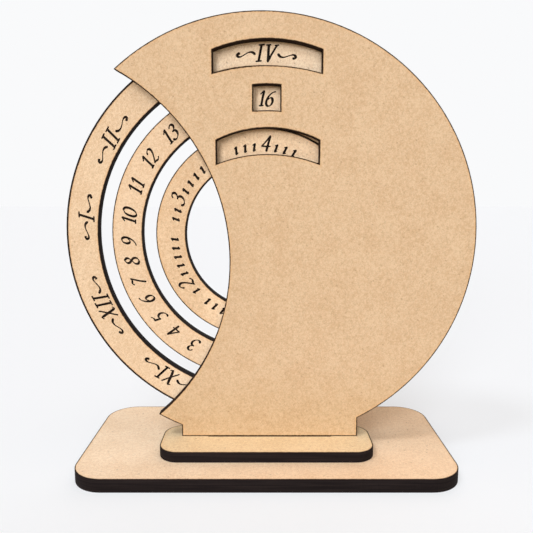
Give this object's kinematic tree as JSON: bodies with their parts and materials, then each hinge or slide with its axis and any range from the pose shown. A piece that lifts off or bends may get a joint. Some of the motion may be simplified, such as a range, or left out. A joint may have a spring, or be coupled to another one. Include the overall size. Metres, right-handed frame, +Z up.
{
  "type": "perpetual desk calendar",
  "caption": "Upright board disc with small windows and a curved bite in its side, over flat month, date and weekday rings that a finger turns, on a stepped rectangular base.",
  "frame": {"origin": "centre of the base plate's underside, on the desk", "axes": "+Z up, +X to the reader's right, -Y towards the reader: the windows look along -Y"},
  "size_m": [0.1545, 0.0666, 0.1679],
  "materials": {
    "front_board": "bare fibreboard face with near-black laser-cut edges",
    "ring_board": "bare fibreboard face with near-black laser-cut edges and dark engraved marks",
    "spacer_board": "bare fibreboard, hidden between the plates",
    "base_board": "bare fibreboard face with near-black laser-cut edges"
  },
  "bodies": {
    "stand": {"front_plate": "front_board", "rim_spacer": "spacer_board", "date_month_spacer": "spacer_board", "weekday_date_spacer": "spacer_board", "hub_spacer": "spacer_board", "back_plate": "front_board", "foot_plate": "base_board", "base_plate": "base_board"},
    "month_ring": {"month_ring": "ring_board"},
    "date_ring": {"date_ring": "ring_board"},
    "weekday_ring": {"weekday_ring": "ring_board"}
  },
  "joints": [
    {"name": "month_turn", "type": "hinge", "parent": "stand", "child": "month_ring", "pos_m": [-0.0019, -0.00085, 0.0876], "axis": [0, -1, 0], "continuous": true},
    {"name": "date_turn", "type": "hinge", "parent": "stand", "child": "date_ring", "pos_m": [-0.0019, -0.00085, 0.0876], "axis": [0, -1, 0], "continuous": true},
    {"name": "weekday_turn", "type": "hinge", "parent": "stand", "child": "weekday_ring", "pos_m": [-0.0019, -0.00085, 0.0876], "axis": [0, -1, 0], "continuous": true}
  ]
}
